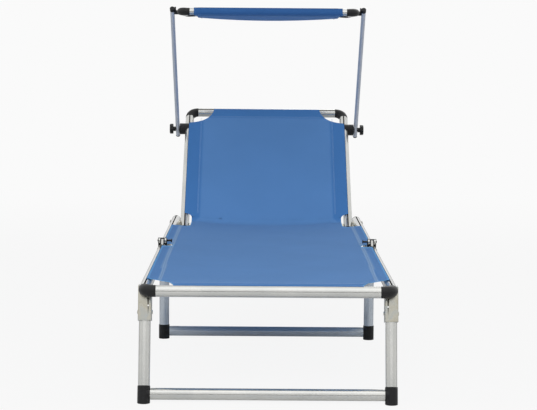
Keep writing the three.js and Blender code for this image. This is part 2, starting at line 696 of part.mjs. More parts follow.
// Canopy, in a level frame about the line through its two pivots
function addCanopy(arms) {
  const canopy = new THREE.Group();
  canopy.position.set(0, armReach, 0);
  canopy.rotation.x = -armAngle - backTilt;
  arms.add(canopy);

  const section = ring(canopyTubeRadius, canopyTubeRadius - canopyTubeWall, middleSides);
  const barEnd = canopyX - canopyBendRadius - fit;
  const sideEnd = canopyBar - canopyBendRadius - fit;
  addPiece(canopy, 'canopy_front_bar',
    straight(section, 'x', -barEnd, barEnd).translate(0, -canopyBar, 0), paintedTube());
  addPiece(canopy, 'canopy_rear_bar',
    straight(section, 'x', -barEnd, barEnd).translate(0, canopyBar, 0), paintedTube());
  const sideBar = cut(
    straight(section, 'y', -sideEnd, sideEnd),
    rod(neckBoltRadius + fit, 'x', -canopyTubeDiameter, canopyTubeDiameter),
  );
  addPair(canopy, 'canopy_side', sideBar.translate(canopyX, 0, 0), paintedTube);
  for (const [end, side] of [['front', -1], ['rear', 1]]) {
    const corner = cornerPiece(
      canopyX, side * canopyBar, side, canopyBendRadius, canopyTubeRadius + cornerProud,
      canopyTubeRadius - canopyTubeWall - fit, 0, canopySpigotLength, middleSides,
    );
    addPair(canopy, `canopy_${end}_corner`, corner, blackPlastic);
  }

  // The cover is sewn round both bars and hangs between their tops
  const sleeveBore = canopyTubeRadius + clothLift;
  const crown = sleeveBore + clothThickness / 2;
  const centreLine = Array.from({ length: coverSteps + 1 }, (_, i) => {
    const share = (2 * i) / coverSteps - 1;
    return [share * canopyBar, crown - coverSag * (1 - share * share)];
  });
  const sheet = polygon([
    ...centreLine.map(([y, z]) => [y, z + clothThickness / 2]),
    ...centreLine.map(([y, z]) => [y, z - clothThickness / 2]).reverse(),
  ]);
  const halfCover = coverWidth / 2;
  const sleeves = [-1, 1].map((side) =>
    rod(sleeveBore + clothThickness, 'x', -halfCover, halfCover, tubeSides).translate(0, side * canopyBar, 0));
  const bores = [-1, 1].map((side) =>
    rod(sleeveBore, 'x', -halfCover - fit, halfCover + fit, tubeSides).translate(0, side * canopyBar, 0));
  const cover = cut(join(straight(sheet, 'x', -halfCover, halfCover), ...sleeves), ...bores);
  addPiece(canopy, 'canopy_cover', cover, coverCloth());
}

const lounger = new THREE.Group();
addFootSection(lounger);
addSeatSection(lounger);
addLeg(lounger, 'front_leg', frontLegInset, -frontLegLean, 1);
addLeg(lounger, 'mid_leg', foldY + midLegPastFold, 0, 1);
addLeg(lounger, 'rear_leg', pivotY + rearLegPastPivot, rearLegLean, -1);
addCanopy(addArms(addBackrest(lounger)));

// The origin is on the floor, under the middle of the whole lounger
const group = new THREE.Group();
group.add(lounger);
group.updateMatrixWorld(true);
const extent = new THREE.Box3().setFromObject(lounger, true);
const middle = extent.getCenter(new THREE.Vector3());
lounger.position.set(-middle.x, -middle.y, -extent.min.z);
group.updateMatrixWorld(true);

export default group;
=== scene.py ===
import json
from functools import partial
from math import atan2, cos, pi, radians, sin, sqrt, tan
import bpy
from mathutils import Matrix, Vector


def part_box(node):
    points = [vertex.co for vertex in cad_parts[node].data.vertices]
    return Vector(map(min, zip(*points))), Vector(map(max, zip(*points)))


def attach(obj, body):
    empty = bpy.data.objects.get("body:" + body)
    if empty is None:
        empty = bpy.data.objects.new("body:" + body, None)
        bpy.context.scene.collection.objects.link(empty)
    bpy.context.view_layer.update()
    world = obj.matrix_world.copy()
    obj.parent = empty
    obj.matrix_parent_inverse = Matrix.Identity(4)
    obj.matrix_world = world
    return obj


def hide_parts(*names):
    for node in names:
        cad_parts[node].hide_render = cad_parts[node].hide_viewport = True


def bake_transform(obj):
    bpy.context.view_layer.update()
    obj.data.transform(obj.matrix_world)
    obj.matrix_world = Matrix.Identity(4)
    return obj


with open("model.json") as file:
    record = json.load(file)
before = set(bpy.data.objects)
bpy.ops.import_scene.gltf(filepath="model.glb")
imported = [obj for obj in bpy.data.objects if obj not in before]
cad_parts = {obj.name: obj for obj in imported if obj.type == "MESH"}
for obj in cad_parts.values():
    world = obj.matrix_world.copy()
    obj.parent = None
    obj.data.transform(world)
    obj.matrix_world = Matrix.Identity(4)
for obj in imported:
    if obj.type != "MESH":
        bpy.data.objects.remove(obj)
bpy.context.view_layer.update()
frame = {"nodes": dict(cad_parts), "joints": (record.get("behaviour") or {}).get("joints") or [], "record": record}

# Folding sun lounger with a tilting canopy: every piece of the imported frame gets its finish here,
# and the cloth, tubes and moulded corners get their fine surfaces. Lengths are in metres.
from types import SimpleNamespace as Spec

import bmesh
import bpy
import numpy as np
from mathutils import Matrix, Vector

jointAt = {joint["name"]: np.array(joint["pos_m"]) for joint in frame["joints"]}
nodeBody = {node: body for body, nodes in frame["record"]["behaviour"]["bodies"].items() for node in nodes}
nodeSlot = {part["node"]: part["material_slot"] for part in frame["record"]["subparts"]}
print("frame loaded:", len(nodeBody), "nodes")


# Places that the frame gives
def middle(node):
    return np.mean(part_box(node), 0)


def tubeRadiusOf(node, across):    # half of a level tube's box across it
    return np.ptp(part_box(node), 0)[across] / 2


fit = 0.0003
barY = middle("foot_bar")[1]
railX, _, railZ = middle("seat_rail_right")
backX = middle("back_rail_right")[0]
tubeRadius = tubeRadiusOf("seat_rail_right", 0)
canopyRadius = tubeRadiusOf("canopy_front_bar", 2)
foldY = jointAt["foot_section_fold"][1]
pivot, clampPoint, tiltPoint = (jointAt[name] for name in ("backrest_recline", "canopy_arm_swing", "canopy_tilt"))
backTilt = atan2(clampPoint[2] - pivot[2], clampPoint[1] - pivot[1])
backUp = np.array([0, cos(backTilt), sin(backTilt)])      # up along the backrest
backOut = np.array([0, -sin(backTilt), cos(backTilt)])    # square to the backrest, out of its upper side
sideways, lengthwise, upright = np.eye(3)
backBarAt = float((middle("back_bar") - pivot) @ backUp)
bothSides = (("left", -1), ("right", 1))
legs = ("front_leg", "mid_leg", "rear_leg")


# Colours and materials
def linear(hexColour):    # sRGB hex to the linear colour that a shader wants
    value = np.array([int(hexColour[i:i + 2], 16) for i in (1, 3, 5)]) / 255
    value = np.where(value <= 0.04045, value / 12.92, ((value + 0.055) / 1.055) ** 2.4)
    return (*value.tolist(), 1.0)


def setInputs(tree, node, inputs):    # a value, a link from a socket, or a link from a node's first output in use
    for name, value in inputs.items():
        if isinstance(value, bpy.types.Node):
            value = next(socket for socket in value.outputs if socket.enabled)
        if isinstance(value, bpy.types.NodeSocket):
            tree.links.new(value, node.inputs[name])
        else:
            node.inputs[name].default_value = value


def addNode(tree, kind, inputs=None, **settings):    # a node with its settings and inputs
    node = tree.nodes.new("ShaderNode" + kind)
    for key, value in settings.items():
        setattr(node, key, value)
    setInputs(tree, node, inputs or {})
    return node


def newMaterial(name):    # the material, and what adds a node to it and sets its shader
    material = bpy.data.materials.new(name)
    material.use_nodes = True
    tree = material.node_tree
    return material, partial(addNode, tree), partial(setInputs, tree, tree.nodes["Principled BSDF"])


def setColours(ramp, stops):
    elements = ramp.color_ramp.elements
    while len(elements) < len(stops):
        elements.new(0.5)
    for element, (place, colour) in zip(elements, stops):
        element.position = place
        element.color = linear(colour)
    return ramp


# A hard finish: a mottled colour in patches of a real size, a gloss that may follow the patches, and a bump from
# a finer grain where it has one
def frameFinish(name, look):
    material, add, setShader = newMaterial(name)
    place = add("TexCoord").outputs["Object"]
    patches = add("TexNoise", {"Vector": place, "Scale": 1000 / look["patchMm"], **look["patches"]})
    setShader({"Base Color": setColours(add("ValToRGB", {"Fac": patches}), look["tones"]), **look["shader"]})
    if "gloss" in look:
        low, high = look["gloss"]
        setShader({"Roughness": add("MapRange", {"Value": patches, "To Min": low, "To Max": high})})
    if "grainMm" in look:
        grain = add("TexNoise", {"Vector": place, "Scale": 1000 / look["grainMm"], "Detail": look["grainDetail"]})
        setShader({"Normal": add("Bump", {"Height": grain, "Strength": look["relief"],
                                          "Distance": look["reliefMm"] / 1000})})
    return material


# Powder-coated tube: a silver metallic paint with a satin gloss, so that it takes soft reflections of the
# floor, the sky and the blue cloth, with a faint orange peel
paintedTube = dict(tones=[(0.35, "#C8C9C6"), (0.65, "#D3D3CF")], patchMm=90, patches={"Detail": 2.0}, grainMm=2.2,
                   grainDetail=1.0, relief=0.012, reliefMm=0.1,
                   shader={"Metallic": 0.8, "Roughness": 0.17, "Coat Weight": 0.15, "Coat Roughness": 0.15})
# The legs under the bed are bluer, with a painted reflection of the blue cloth above them, and the thin arms are
# bluer too
blueReflectionTube = dict(paintedTube, tones=[(0.35, "#BDC6D0"), (0.65, "#C6CED6")],
                  shader=dict(paintedTube["shader"], Metallic=0.6))
paintedArm = dict(paintedTube, tones=[(0.35, "#BEC6D2"), (0.65, "#C6CDD8")],
                  shader=dict(paintedTube["shader"], Metallic=0.45, Roughness=0.5))
# Zinc-plated pressed steel: bright, with the yellow-green and blue cast of its passivation
zincPlate = dict(tones=[(0.3, "#BFBBAB"), (0.5, "#CCC9BC"), (0.72, "#C2C7C6")], patchMm=26,
                 patches={"Detail": 3.0, "Distortion": 0.6}, gloss=(0.18, 0.28), grainMm=0.8, grainDetail=2.0,
                 relief=0.12, reliefMm=0.1, shader={"Metallic": 1.0})
# Painted shade inside the cloth groove: a near-black, rough finish that stands in for the shade in the slot
grooveShade = dict(tones=[(0.4, "#0B0C0D"), (0.75, "#1B1C19")], patchMm=7, patches={"Detail": 4.0},
                   shader={"Roughness": 0.9})
# Moulded black polypropylene: satin, with a fine spark-eroded grain and paler scuffed places
blackMoulding = dict(tones=[(0.45, "#0F1011"), (0.75, "#191A1C")], patchMm=22,
                     patches={"Detail": 4.0, "Roughness": 0.6}, gloss=(0.34, 0.56), grainMm=0.7, grainDetail=3.0,
                     relief=0.25, reliefMm=0.12, shader={"Specular IOR Level": 0.35})

# Coated polyester yarn in a plain weave. Warp and weft are raised in turn on a checker of yarn crossings, and the
# yarn crowns are painted lighter and the gaps darker, as painted highlight and shade. The attribute named band
# lightens or deepens the colour along hems and seams, and the one named rim gives a painted highlight along cut
# edges, and painted light on an underside, as if daylight came through the cloth
bedWeave = dict(crown="#5F8CC3", gap="#3F6EA7", hem="#4274B0", pale="#6C90BB", rim="#62A6DE", yarnMm=1.9,
                shadeMm=160, roughness=0.75)
coverWeave = dict(crown="#416CA6", gap="#295186", hem="#254C80", pale="#5B82B8", rim="#74A2DA", yarnMm=1.1,
                  shadeMm=120, roughness=0.72)


def wovenPolyester(name, look):
    material, add, setShader = newMaterial(name)
    uv = add("UVMap", uv_map="cloth")
    yarns = add("VectorMath", {0: uv, 1: (1000 * pi / look["yarnMm"],) * 3}, operation="MULTIPLY")
    split = add("SeparateXYZ", {"Vector": yarns}).outputs
    waves = [add("Math", {0: split[axis]}, operation="SINE") for axis in "XY"]
    warp, weft = (add("Math", {0: wave}, operation="ABSOLUTE") for wave in waves)
    crossing = add("Math", dict(enumerate(waves)), operation="MULTIPLY")
    onTop = add("MapRange", {"Value": crossing, "From Min": -0.25, "From Max": 0.25})
    height = add("Mix", {"Factor": onTop, "A": weft, "B": warp}, data_type="FLOAT")

    # Painted highlight and shade: the yarn crowns are lighter and the gaps between them darker
    colour = add("Mix", {"Factor": height, "A": linear(look["gap"]), "B": linear(look["crown"])}, data_type="RGBA")
    # band deepens the hems and lightens the sewn strip; rim adds painted highlight and painted light from below
    for attribute, full, tone in (("band", 1.0, "pale"), ("band", -1.0, "hem"), ("rim", 1.0, "rim")):
        here = add("Attribute", attribute_name=attribute).outputs["Fac"]
        share = add("MapRange", {"Value": here, "From Min": 0.0, "From Max": full})
        colour = add("Mix", {"Factor": share, "A": colour, "B": linear(look[tone])}, data_type="RGBA")
    patches = add("TexNoise", {"Vector": uv, "Scale": 1000 / look["shadeMm"], "Detail": 3.0})
    shade = add("MapRange", {"Value": patches, "To Min": 0.93, "To Max": 1.07})
    toned = add("VectorMath", {0: colour, "Scale": shade}, operation="SCALE")
    bump = add("Bump", {"Height": height, "Strength": 0.5, "Distance": 0.00035})
    setShader({"Base Color": toned, "Roughness": look["roughness"], "Normal": bump, "Sheen Weight": 0.02,
               "Sheen Roughness": 0.5, "Specular IOR Level": 0.07})
    return material


# Polyester sewing thread, twisted, a little paler than the cloth
def sewingThread(name, colour, twistMm=0.4):
    material, add, setShader = newMaterial(name)
    place = add("TexCoord").outputs["Object"]
    twist = add("TexNoise", {"Vector": place, "Scale": 1000 / twistMm, "Detail": 1.0})
    tone = add("MapRange", {"Value": twist, "To Min": 0.85, "To Max": 1.15})
    toned = add("VectorMath", {0: linear(colour)[:3], "Scale": tone}, operation="SCALE")
    setShader({"Base Color": toned, "Roughness": 0.55, "Sheen Weight": 0.2})
    return material


materials = {
    "tube": frameFinish("powder_coated_steel", paintedTube),
    "arm": frameFinish("powder_coated_arm_steel", paintedArm),
    "underTube": frameFinish("powder_coated_leg_steel", blueReflectionTube),
    "groove": frameFinish("bare_groove_steel", grooveShade),
    "bracket": frameFinish("zinc_plated_steel", zincPlate),
    "plastic": frameFinish("black_polypropylene", blackMoulding),
    "bed_cloth": wovenPolyester("woven_coated_polyester", bedWeave),
    "canopy_cloth": wovenPolyester("woven_canopy_polyester", coverWeave),
    "thread": sewingThread("bed_sewing_thread", "#7FA0CB"),
    "canopyThread": sewingThread("canopy_sewing_thread", "#54779F"),
}
print("materials made:", len(materials))


# Meshes
def gridFaces(rows, columns, closed=False, offset=0):    # quads of a grid, whose columns may close into a ring
    i = np.arange(rows - 1)[:, None]
    j = np.arange(columns if closed else columns - 1)[None, :]
    jNext = (j + 1) % columns
    quads = [i * columns + j, i * columns + jNext, (i + 1) * columns + jNext, (i + 1) * columns + j]
    return np.stack(np.broadcast_arrays(*quads), -1).reshape(-1, 4) + offset


def newObject(name, data):    # an object at the origin
    thing = bpy.data.objects.new(name, data)
    bpy.context.scene.collection.objects.link(thing)
    return thing


def smoothPiece(name, mesh, material, sharpAngle):    # a piece whose edges stay sharp past an angle
    mesh.shade_smooth()
    mesh.set_sharp_from_angle(angle=radians(sharpAngle))
    mesh.materials.clear()
    mesh.materials.append(materials[material])
    return newObject(name, mesh)


def meshPiece(name, points, faces, material, sharpAngle=35):    # one piece whose faces all point outwards
    mesh = bpy.data.meshes.new(name)
    mesh.from_pydata(np.asarray(points).reshape(-1, 3).tolist(), [], faces)
    mesh.validate()
    piece = smoothPiece(name, mesh, material, sharpAngle)
    work = bmesh.new()
    work.from_mesh(mesh)
    bmesh.ops.recalc_face_normals(work, faces=work.faces)
    work.to_mesh(mesh)
    work.free()
    return piece


def standFor(piece, *nodes):    # the piece replaces these nodes and moves with their body
    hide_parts(*nodes)
    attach(piece, nodeBody[nodes[0]])
    return piece


# A closed outline carried along a path: each point is the path's point plus the outline's two parts
# along that place's right and up directions. The outline may differ from place to place, and closes the ends
def carriedOutline(name, outline, path, right, up, material, sharpAngle=35):
    path = np.asarray(path, float)
    rows, columns = len(path), np.asarray(outline).shape[-2]
    outline = np.broadcast_to(outline, (rows, columns, 2))
    right, up = (np.broadcast_to(direction, path.shape)[:, None] for direction in (right, up))
    points = path[:, None] + outline[..., :1] * right + outline[..., 1:] * up
    faces = gridFaces(rows, columns, closed=True).tolist()
    faces += [list(range(columns)), list(range((rows - 1) * columns, rows * columns))[::-1]]
    return meshPiece(name, points, faces, material, sharpAngle)


def arcPoints(x, y, radius, angle):
    return np.stack([x + radius * np.cos(angle), y + radius * np.sin(angle)], -1)


def circle(radius, sides=48):
    return arcPoints(0, 0, radius, np.arange(sides) * 2 * pi / sides)


# Bed tube section: a round tube with a round pocket under its face, behind a slot with rolled lips
grooved = Spec(slot=0.003, pocketRadius=0.0032, pocketDepth=0.0045, lip=0.0005, sides=56, lipSides=5, pocketSides=22)
pocketHeight = tubeRadius - grooved.pocketDepth


def groovedOutline(size=grooved):
    half, lip = size.slot / 2, size.lip
    lipX = half + lip
    lipY = sqrt((tubeRadius - lip) ** 2 - lipX ** 2)
    lean = atan2(lipY, lipX)
    mouth = np.arccos(half / size.pocketRadius)
    body = arcPoints(0, 0, tubeRadius, np.linspace(-pi - lean, lean, size.sides))
    rightLip = arcPoints(lipX, lipY, lip, np.linspace(lean, pi, size.lipSides))[1:]
    around = np.linspace(mouth + 2 * pi, pi - mouth, size.pocketSides)
    pocket = arcPoints(0, pocketHeight, size.pocketRadius, around)
    return np.concatenate([body, rightLip, pocket, rightLip[::-1] * [-1, 1]])


def tubeEnds(node):    # the two ends of a level tube, from the longest side of its box
    low, high = np.array(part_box(node))
    axis = np.argmax(high - low)
    ends = np.array([middle(node)] * 2)
    ends[:, axis] = low[axis], high[axis]
    return ends


def makeTube(node, ends, outline, up, finish="tube", steps=25):
    ends = np.asarray(ends)
    direction = (ends[1] - ends[0]) / np.linalg.norm(ends[1] - ends[0])
    path = ends[0] + (ends[1] - ends[0]) * np.linspace(0, 1, steps)[:, None]
    return standFor(carriedOutline(f"{node}_tube", outline, path, np.cross(direction, up), up, finish), node)


# The faces of the pocket and of the slot's lips get the groove's painted shade, and the two end faces don't
def makeGroovedTube(node, ends, up):
    outline = groovedOutline()
    piece = makeTube(node, ends, outline, up)
    place = np.arange(len(piece.data.polygons)) % len(outline)
    paintedShade = (place >= grooved.sides + 1) & (place < len(outline) - 2)
    paintedShade[-2:] = False
    piece.data.materials.append(materials["groove"])
    piece.data.polygons.foreach_set("material_index", paintedShade.astype(np.int32))


for node in ("foot_bar", "foot_rail_left", "foot_rail_right", "seat_rail_left", "seat_rail_right"):
    ends = tubeEnds(node)
    ends[:, 2] = railZ
    makeGroovedTube(node, ends, upright)

backrest = Spec(tail=0.013, bend=0.025)
for side, sign in bothSides:
    foot = pivot + sideways * backX * sign
    top = backBarAt - backrest.bend - fit
    makeGroovedTube(f"back_rail_{side}", [foot - backUp * backrest.tail, foot + backUp * top], backOut)
barHalf = sideways * (backX - backrest.bend - fit)
barMiddle = pivot + backUp * backBarAt
makeGroovedTube("back_bar", [barMiddle - barHalf, barMiddle + barHalf], backOut)

# The middle and rear legs take the tube paint with a painted blue reflection
legFinish = dict(front_leg="tube", mid_leg="underTube", rear_leg="underTube")
for leg in legs:
    makeTube(f"{leg}_crossbar", tubeEnds(f"{leg}_crossbar"), circle(tubeRadius), upright, legFinish[leg])
for name in ("front_bar", "rear_bar", "side_left", "side_right"):
    makeTube(f"canopy_{name}", tubeEnds(f"canopy_{name}"), circle(canopyRadius), upright)

arm = Spec(radius=0.006, tail=0.027, pastPivot=0.006)
armReach = np.linalg.norm(tiltPoint - clampPoint)
armUp = (tiltPoint - clampPoint) / armReach
for side, sign in bothSides:
    centre = clampPoint + sideways * middle(f"canopy_arm_{side}")[0]
    ends = [centre - armUp * arm.tail, centre + armUp * (armReach + arm.pastPivot)]
    makeTube(f"canopy_arm_{side}", ends, circle(arm.radius), np.cross(sideways, armUp), "arm")
print("tubes made")


# Moulded quarter bends: a round section carried round an arc, a little thicker at the middle of the bend, with
# a small rounded shoulder at each end, whose places and depths are given from the end inwards
corner = Spec(bed=0.025, canopy=0.025, proud=0.0002, swell=0.0007, steps=26, shoulder=0.0012,
              places=np.array([0, 0.12, 0.45, 1]), depths=np.array([0.0007, 0.0003, 0.00005, 0]))


def makeCorner(node, centre, radius, thick, outward, ahead, start, end):
    turn = corner.shoulder / radius
    angle = np.concatenate([start + turn * corner.places, np.linspace(start + turn, end - turn, corner.steps)[1:-1],
                            end - turn * corner.places[::-1]])
    shrink = np.concatenate([corner.depths, np.zeros(corner.steps - 2), corner.depths[::-1]])
    section = thick + corner.proud - shrink + corner.swell * np.sin(pi * (angle - start) / (end - start)) ** 2
    away = np.cos(angle)[:, None] * outward + np.sin(angle)[:, None] * ahead
    standFor(carriedOutline(f"{node}_moulding", circle(1)[None] * section[:, None, None], centre + radius * away,
                            away, np.cross(outward, ahead), "plastic", 50), node)


for side, sign in bothSides:
    outward = sideways * sign
    bend = corner.bed
    footCentre = np.array([sign * (railX - bend), barY + bend, railZ])
    makeCorner(f"foot_corner_{side}", footCentre, bend, tubeRadius, outward, lengthwise, -pi / 2, 0)
    backCentre = pivot + outward * (backX - bend) + backUp * (backBarAt - bend)
    makeCorner(f"back_corner_{side}", backCentre, bend, tubeRadius, outward, backUp, 0, pi / 2)
    bend = corner.canopy
    for end, toward in (("front", -1), ("rear", 1)):
        barAt = middle(f"canopy_{end}_bar")
        centre = np.array([sign * (middle("canopy_side_right")[0] - bend), barAt[1] - toward * bend, barAt[2]])
        makeCorner(f"canopy_{end}_corner_{side}", centre, bend, canopyRadius, outward, lengthwise * toward, 0, pi / 2)
print("moulded corners made")


# Leg posts: round tubes whose top is rounded across the bolt, so that it can swing inside the bracket
post = Spec(aboveBar=0.0173, steps=10, thinnest=0.00001)

for leg in legs:
    hinge, bar = jointAt[f"{leg}_fold"] * [0, 1, 1], middle(f"{leg}_crossbar") * [0, 1, 1]
    legUp = (hinge - bar) / np.linalg.norm(hinge - bar)
    rise = tubeRadius * np.sin(np.linspace(0, pi / 2, post.steps))[:, None]
    halfDepth = np.maximum(np.sqrt(np.maximum(tubeRadius ** 2 - rise ** 2, 0)), post.thinnest)
    outline = np.repeat(circle(tubeRadius)[None], post.steps + 1, 0)
    outline[1:, :, 1] = np.clip(outline[1:, :, 1], -halfDepth, halfDepth)
    for side, sign in bothSides:
        path = sideways * railX * sign + np.concatenate([[bar + legUp * post.aboveBar], hinge + rise * legUp])
        standFor(carriedOutline(f"{leg}_post_{side}_tube", outline, path, -sideways, np.cross(sideways, legUp),
                                legFinish[leg]), f"{leg}_post_{side}")
print("leg posts made")


# Pressed and moulded pieces keep the shape of their nodes and get fine rounded edges
edgeRounding = dict(bracket=0.0003, plastic=0.0004, segments=2, angle=38, flat=1.5, weld=0.00001)


def finishedCopy(node):
    work = bmesh.new()
    work.from_mesh(frame["nodes"][node].data)
    bmesh.ops.remove_doubles(work, verts=work.verts, dist=edgeRounding["weld"])
    bmesh.ops.dissolve_limit(work, angle_limit=radians(edgeRounding["flat"]), verts=work.verts, edges=work.edges)
    mesh = bpy.data.meshes.new(f"{node}_finished")
    work.to_mesh(mesh)
    work.free()
    piece = smoothPiece(f"{node}_finished", mesh, nodeSlot[node], edgeRounding["angle"])
    bevel = piece.modifiers.new("rounded edges", "BEVEL")
    bevel.width = edgeRounding[nodeSlot[node]]
    bevel.segments = edgeRounding["segments"]
    bevel.limit_method = "ANGLE"
    bevel.angle_limit = radians(edgeRounding["angle"])
    bevel.harden_normals = True
    return standFor(piece, node)


# The fold hinge's collars are squeezed to a narrow ring next to the fold. The collars, the webs' front faces inside a
# thin moulded rim, and the webs' sides where they face each other get the pale tube finish
foldHinge = Spec(ring=0.0035, rim=0.0014, collarTop=0.0135, collar=0.0143, innerSides=0.0095, webs=0.0125,
                 webFoot=0.012, facing=0.3, square=0.7, leastFace=0.00001, leastSide=0.00002, shortest=0.00002)


def finishedHinge(node, size=foldHinge):
    piece = finishedCopy(node)
    work = bmesh.new()
    work.from_mesh(piece.data)
    for vert in work.verts:
        if vert.co.z < railZ + size.collarTop:
            vert.co.y = min(max(vert.co.y, foldY - size.ring), foldY + size.ring)
    bmesh.ops.dissolve_degenerate(work, dist=size.shortest, edges=work.edges)
    work.normal_update()

    def offRail(face):    # how far the face's middle is from the rail's middle plane
        return abs(abs(face.calc_center_median().x) - railX)

    front = [face for face in work.faces if face.normal.y < -size.facing and face.calc_area() > size.leastFace
             and face.calc_center_median().z > railZ + size.webFoot and offRail(face) < size.webs]
    bmesh.ops.inset_region(work, faces=front, thickness=size.rim, use_even_offset=True)
    for face in work.faces:
        fromAxis = [sqrt((abs(vert.co.x) - railX) ** 2 + (vert.co.z - railZ) ** 2) for vert in face.verts]
        innerSide = abs(face.normal.x) > size.square and offRail(face) < size.innerSides \
            and face.calc_area() > size.leastSide
        if max(fromAxis) < size.collar or innerSide or face in front:
            face.material_index = 1
    work.to_mesh(piece.data)
    work.free()
    piece.data.materials.append(materials["tube"])


for side, sign in bothSides:
    for name in (*(f"{leg}_{part}" for leg in legs for part in ("bracket", "foot")), "recline_bracket", "arm_clamp",
                 "arm_head", "clamp_knob"):
        finishedCopy(f"{name}_{side}")
    for name in ("fold_knuckle", "fold_fork"):
        finishedHinge(f"{name}_{side}")
print("pressed and moulded pieces finished")


# Plugs in the open tube ends: a stub with a low domed cap that covers the cut edge
plug = Spec(rim=0.0018, armRim=0.0034, proud=0.0003, dome=0.0012, stub=0.006, wall=0.0016, edge=0.0004, gap=0.0002,
            sunk=0.0001, slant=0.0003, slopeAt=0.6, slopeWide=0.72, tipWide=0.2)


def makePlug(name, body, end, outward, radius, rim=plug.rim):
    along = np.array([-plug.stub, -plug.sunk, 0, plug.slant, rim - plug.edge, rim, rim + plug.dome * plug.slopeAt,
                      rim + plug.dome]) + plug.gap
    wide, stub = radius + plug.proud, radius - plug.wall
    size = np.array([stub, stub, wide - plug.edge, wide, wide, wide - plug.edge, radius * plug.slopeWide,
                     radius * plug.tipWide])
    side = np.cross(outward, sideways)
    piece = carriedOutline(name, circle(1, 40)[None] * size[:, None, None], end + along[:, None] * outward,
                           np.cross(outward, side), side, "plastic", 50)
    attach(piece, body)


for side, sign in bothSides:
    seatEnd = np.array([sign * railX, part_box(f"seat_rail_{side}")[1][1], railZ])
    makePlug(f"seat_rail_plug_{side}", "seat_section", seatEnd, lengthwise, tubeRadius)
    backEnd = pivot + sideways * backX * sign - backUp * backrest.tail
    makePlug(f"back_rail_plug_{side}", "backrest", backEnd, -backUp, tubeRadius)
    armEnd = clampPoint * [0, 1, 1] + sideways * middle(f"canopy_arm_{side}")[0] - armUp * arm.tail
    makePlug(f"arm_plug_{side}", "canopy_arms", armEnd, -armUp, arm.radius, plug.armRim)
print("tube plugs made")


# The bed cloth is one piece of woven polyester, from the foot bar over the fold and round the crease at the
# backrest to the top bar. Its place is given by x across the bed and t along it, with t = 0 at the pivots
bedCloth = Spec(thick=0.0012, lift=0.0004, creaseRadius=0.045, footSag=0.008, creaseSag=0.013, sagRunIn=0.16,
                creaseRunIn=0.42, notch=0.028, cut=0.075, cutDepth=0.064, cutInset=0.002, seatEnd=0.134,
                backStart=0.035, innerEdge=0.212, rounding=0.0165, footCorner=0.103, footSide=0.052, footHalf=0.201,
                footWider=0.2135, halfway=1.0, beadStart=0.041, squeeze=0.004, rowPitch=0.009)
hem = Spec(end=0.038, foot=0.229, spread=0.0045, spreading=(0.1, 0.45), back=0.193, narrowing=(-0.07, 0.1),
           strip=0.009, step=0.0004, slope=0.0007, seam=0.0003, blur=0.0008)
# Cloth tones: edge, corner and the glows are painted highlight, and underside is painted light from below
clothTone = Spec(footHem=-0.55, topHem=-1, edge=0.6, edgeWidth=0.0026, corner=0.7, cornerGlow=0.016, notchGlow=0.022,
                 behindNotch=0.4, underside=0.45)
ripple = Spec(pucker=0.0002, puckerPitch=0.021, puckerReach=0.009, wave=0.0007, wavePitch=0.083, waveReach=0.035,
              waveStart=0.7)
pivotAt = pivot[1] - barY
foldAt = foldY - barY
seatEdge, backEdge = railX - 0.0004, backX + 0.0006
# Places of the cloth's columns, closer together at the hems: on the seat, and on the narrower backrest
seatColumns = np.array([*np.linspace(0, 0.2245, 27), 0.2265, 0.2271, 0.2282, 0.2318, 0.2345, 0.2356, 0.2362, 0.24,
                        0.246, 0.252, 0.257, 0.2602, 0.2615, 0.2624, seatEdge])
backColumns = np.array([*np.linspace(0, 0.1935, 27), 0.1957, 0.1963, 0.1974, 0.201, 0.204, 0.2056, 0.2075, 0.211,
                        0.216, 0.2205, 0.225, 0.2283, 0.2304, 0.2317, backEdge])
# How the edge leaves the seat's tube for the backrest: places past the seat's corner, and half widths there
leaving = Spec(places=np.array([0, 0.0006, 0.004, 0.0095, 0.018, 0.03]),
               halves=[seatEdge, 0.2283, 0.2215, 0.2179, 0.2158, bedCloth.innerEdge])


def eased(value, start, length):    # rises smoothly from 0 to 1 over a length
    share = np.clip((value - start) / length, 0, 1)
    return share * share * (3 - 2 * share)


def toBack(t):    # 0 along the seat and 1 along the backrest
    return eased(t, *hem.narrowing)


def hemLine(t):    # where the side hem's inner edge runs: inside the rails, then the backrest's tubes
    seatLine = hem.foot + hem.spread * eased(t + pivotAt, *hem.spreading)
    return seatLine + (hem.back - seatLine) * toBack(t)


def clothSag(t, size=bedCloth):
    bed = size.footSag * eased(t + pivotAt, 0, size.sagRunIn) \
        + (size.creaseSag - size.footSag) * eased(t, -size.creaseRunIn, size.creaseRunIn)
    return np.where(t < 0, bed, size.creaseSag * (1 - eased(t, 0, backBarAt)))


def clothEdge(t, size=bedCloth):    # half the width of the cloth at each place along it
    y = t + pivotAt
    places = [0, size.footSide, size.footCorner, *(pivotAt - size.seatEnd + leaving.places)]
    edge = np.interp(y, places, [size.footHalf, size.footWider, seatEdge, *leaving.halves])
    turned = np.clip((t - size.backStart) / size.rounding + 1, 0, 1)
    edge = edge + (t > 0) * (backEdge - size.innerEdge) * (1 - np.sqrt(1 - turned ** 2))
    notch = railX - np.sqrt(np.maximum(size.notch ** 2 - (y - foldAt) ** 2, 0))
    edge = np.where(np.abs(y - foldAt) < size.notch, np.minimum(edge, notch), edge)
    cutAt = backBarAt + size.cutInset
    curve = backX + size.cutInset - size.cut * np.sqrt(np.maximum(1 - ((cutAt - t) / size.cutDepth) ** 2, 0))
    return np.where(t > cutAt - size.cutDepth, np.minimum(edge, curve), edge)


